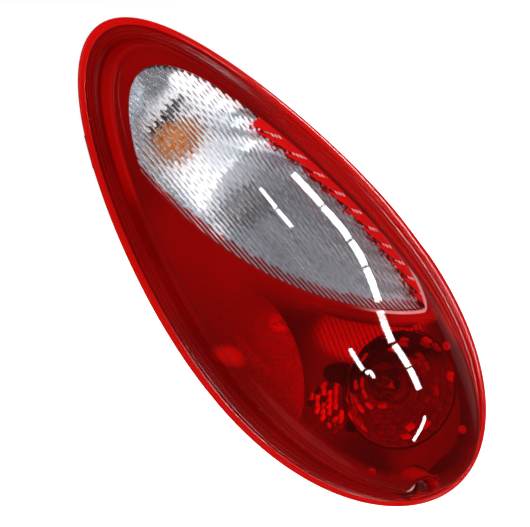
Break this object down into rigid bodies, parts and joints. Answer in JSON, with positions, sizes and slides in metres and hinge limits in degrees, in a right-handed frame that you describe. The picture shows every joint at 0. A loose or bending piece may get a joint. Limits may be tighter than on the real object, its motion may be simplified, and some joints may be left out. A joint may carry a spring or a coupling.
{
  "type": "tail light cluster",
  "caption": "Egg-shaped car tail light cluster: red domed lens with a clear fluted window, reflex insert, reflectors, bulbs and plug-in holders on a tub housing with a foam gasket.",
  "frame": {"origin": "axis of the lower mounting screw, on the plane where the foam gasket seats against the car body", "axes": "+Z along the lamp, towards its narrow upper end; -Y is the way the lens faces; +X to the right as seen from behind the car"},
  "size_m": [0.1913, 0.1263, 0.4408],
  "materials": {
    "lens_red": "clear dyed red acrylic, polished",
    "lens_clear": "clear acrylic, fluted inside",
    "reflex": "red prism plate",
    "housing": "moulded dark grey plastic",
    "reflector": "vacuum metallised plastic, bright",
    "bulb_amber": "amber coated glass",
    "bulb_clear": "clear glass",
    "bulb_base": "moulded wedge base",
    "filament": "tungsten coil on nickel wires",
    "holder": "moulded grey nylon",
    "seal": "soft silicone",
    "terminal": "plated brass blades",
    "gasket": "closed cell foam",
    "steel": "zinc plated",
    "boot": "moulded rubber"
  },
  "bodies": {
    "root": {"lens_red": "lens_red", "lens_clear": "lens_clear", "reflex_reflector": "reflex", "housing": "housing", "signal_reflector": "reflector", "stop_reflector": "reflector", "turn_bulb": "bulb_amber", "turn_bulb_base": "bulb_base", "turn_filament": "filament", "reverse_bulb": "bulb_clear", "reverse_bulb_base": "bulb_base", "reverse_filament": "filament", "stop_bulb": "bulb_clear", "stop_bulb_base": "bulb_base", "stop_filament": "filament", "turn_holder": "holder", "reverse_holder": "holder", "stop_holder": "holder", "turn_seal": "seal", "reverse_seal": "seal", "stop_seal": "seal", "turn_terminals": "terminal", "reverse_terminals": "terminal", "stop_terminals": "terminal", "body_gasket": "gasket", "screw_sleeve": "steel", "locating_studs": "steel", "reflector_screws": "steel", "vent_boots": "boot"}
  },
  "joints": []
}
